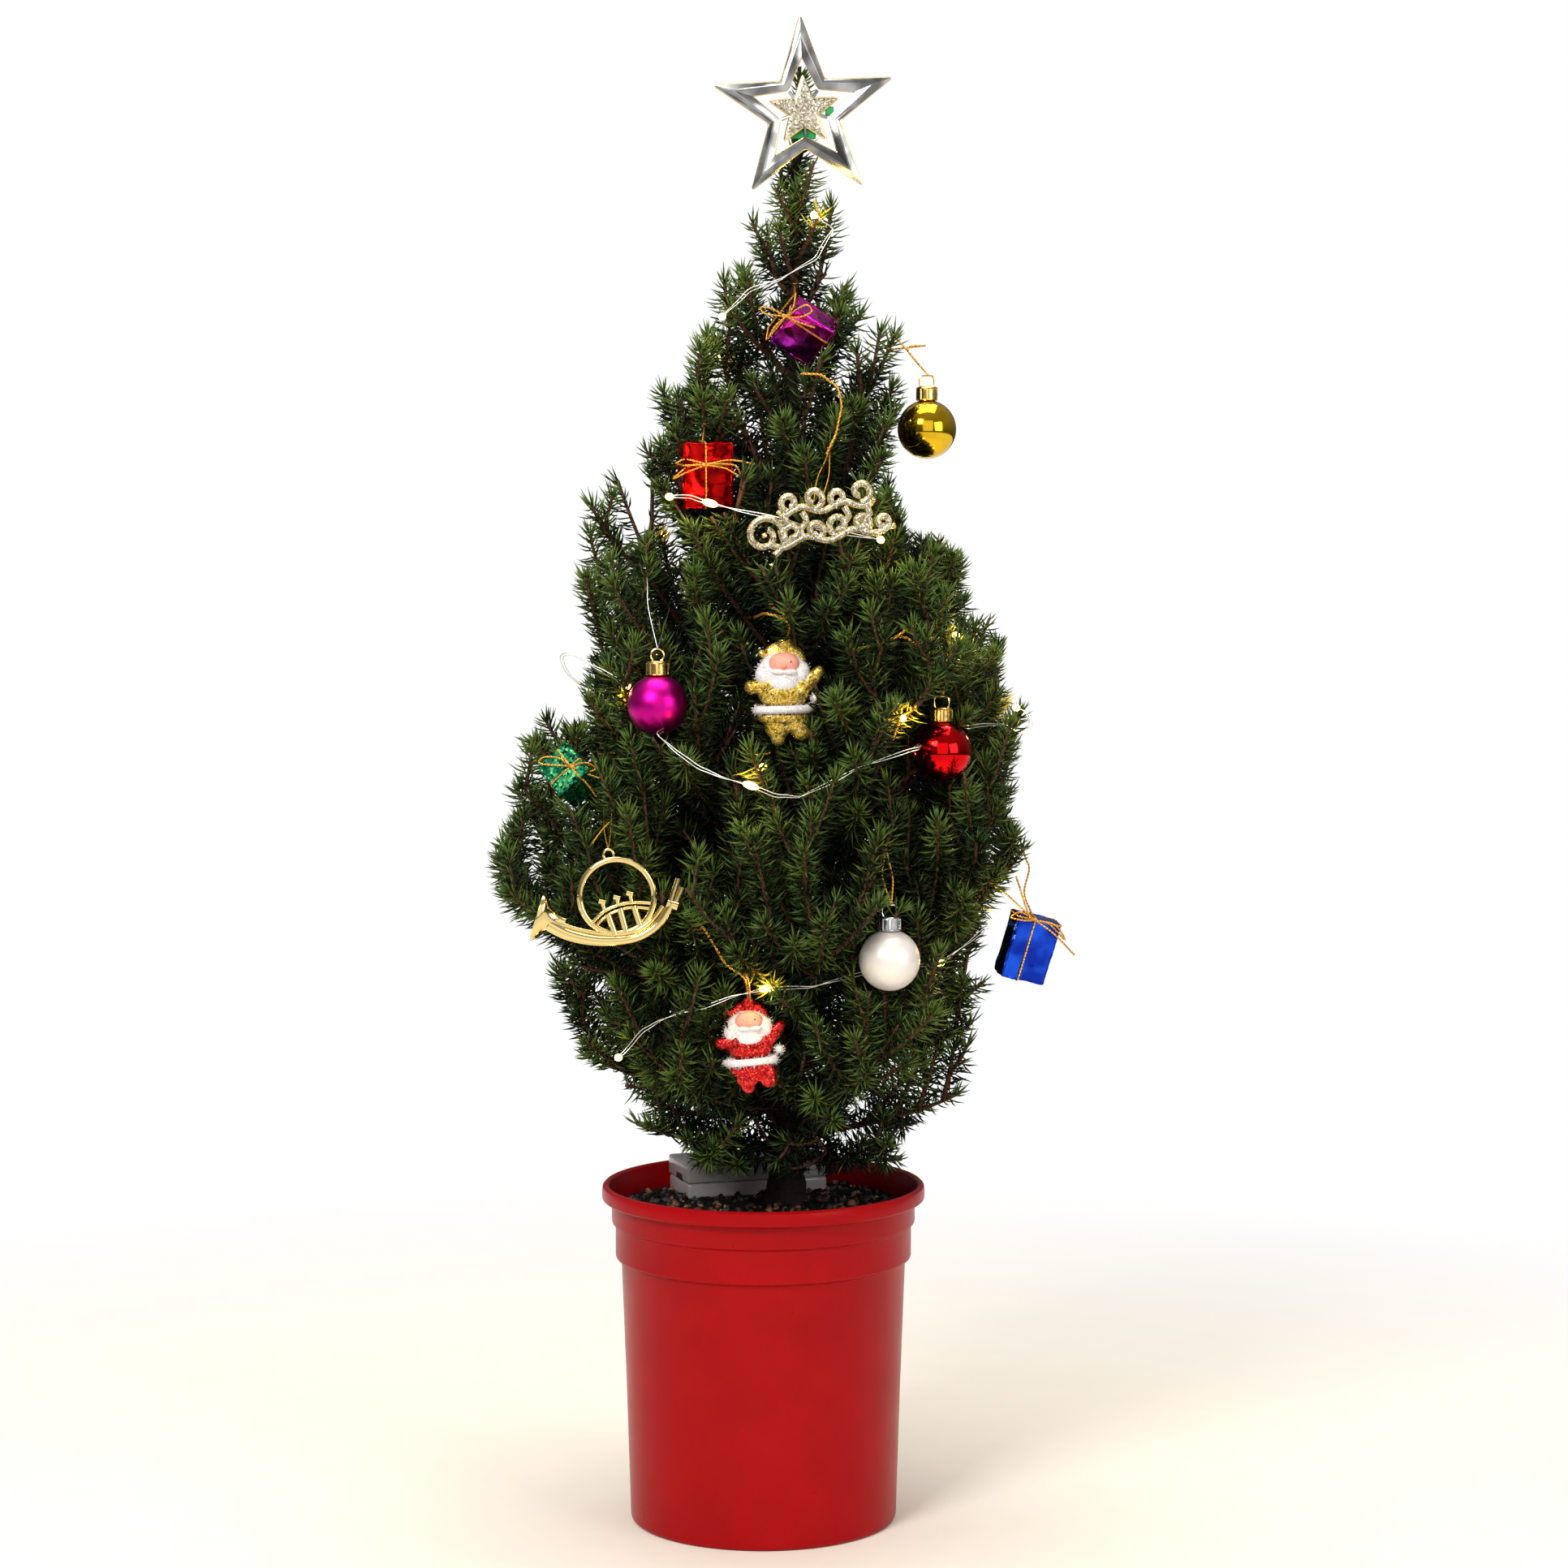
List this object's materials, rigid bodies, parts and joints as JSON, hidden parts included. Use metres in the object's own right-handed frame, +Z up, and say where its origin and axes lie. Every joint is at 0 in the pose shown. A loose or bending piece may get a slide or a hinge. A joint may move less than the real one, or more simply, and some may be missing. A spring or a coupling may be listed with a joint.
{
  "type": "potted dwarf alberta spruce",
  "caption": "Small conical dwarf spruce in a round red nursery pot, dressed as a Christmas tree with a star on its leader; stands on the pot's flat underside.",
  "frame": {"origin": "middle of the pot's flat underside", "axes": "+Z up along the trunk, -Y to the front that the star faces, +X to the right seen from the front"},
  "size_m": [0.3348, 0.3288, 0.9229],
  "materials": {
    "pot_plastic": "satin red moulded plastic",
    "potting_soil": "dark moist potting mix with bark chips",
    "spruce_bark": "rough red-brown bark",
    "spruce_needles": "dark green needles with a soft sheen",
    "star_silver": "silver plated plastic with gold edges"
  },
  "bodies": {
    "root": {"bough_bottom_1": "spruce_bark", "bough_bottom_2": "spruce_bark", "bough_bottom_3": "spruce_bark", "bough_high_1": "spruce_bark", "bough_high_2": "spruce_bark", "bough_low_1": "spruce_bark", "bough_low_2": "spruce_bark", "bough_low_3": "spruce_bark", "bough_low_4": "spruce_bark", "bough_low_5": "spruce_bark", "bough_low_6": "spruce_bark", "bough_middle_1": "spruce_bark", "bough_middle_2": "spruce_bark", "bough_middle_3": "spruce_bark", "bough_middle_4": "spruce_bark", "bough_middle_5": "spruce_bark", "bough_middle_6": "spruce_bark", "bough_middle_7": "spruce_bark", "needles_bottom_1": "spruce_needles", "needles_bottom_2": "spruce_needles", "needles_bottom_3": "spruce_needles", "needles_high_1": "spruce_needles", "needles_high_2": "spruce_needles", "needles_inner_1": "spruce_needles", "needles_inner_2": "spruce_needles", "needles_inner_3": "spruce_needles", "needles_inner_4": "spruce_needles", "needles_low_1": "spruce_needles", "needles_low_2": "spruce_needles", "needles_low_3": "spruce_needles", "needles_low_4": "spruce_needles", "needles_low_5": "spruce_needles", "needles_low_6": "spruce_needles", "needles_middle_1": "spruce_needles", "needles_middle_2": "spruce_needles", "needles_middle_3": "spruce_needles", "needles_middle_4": "spruce_needles", "needles_middle_5": "spruce_needles", "needles_middle_6": "spruce_needles", "needles_middle_7": "spruce_needles", "needles_shoulder_1": "spruce_needles", "needles_shoulder_2": "spruce_needles", "needles_shoulder_3": "spruce_needles", "needles_shoulder_4": "spruce_needles", "needles_shoulder_5": "spruce_needles", "needles_shoulder_6": "spruce_needles", "needles_top_1": "spruce_needles", "needles_top_2": "spruce_needles", "needles_top_3": "spruce_needles", "needles_top_4": "spruce_needles", "needles_top_5": "spruce_needles", "needles_top_6": "spruce_needles", "needles_upper_1": "spruce_needles", "needles_upper_2": "spruce_needles", "needles_upper_3": "spruce_needles", "needles_upper_4": "spruce_needles", "pot": "pot_plastic", "soil": "potting_soil", "star_topper": "star_silver", "trunk": "spruce_bark"}
  },
  "joints": []
}
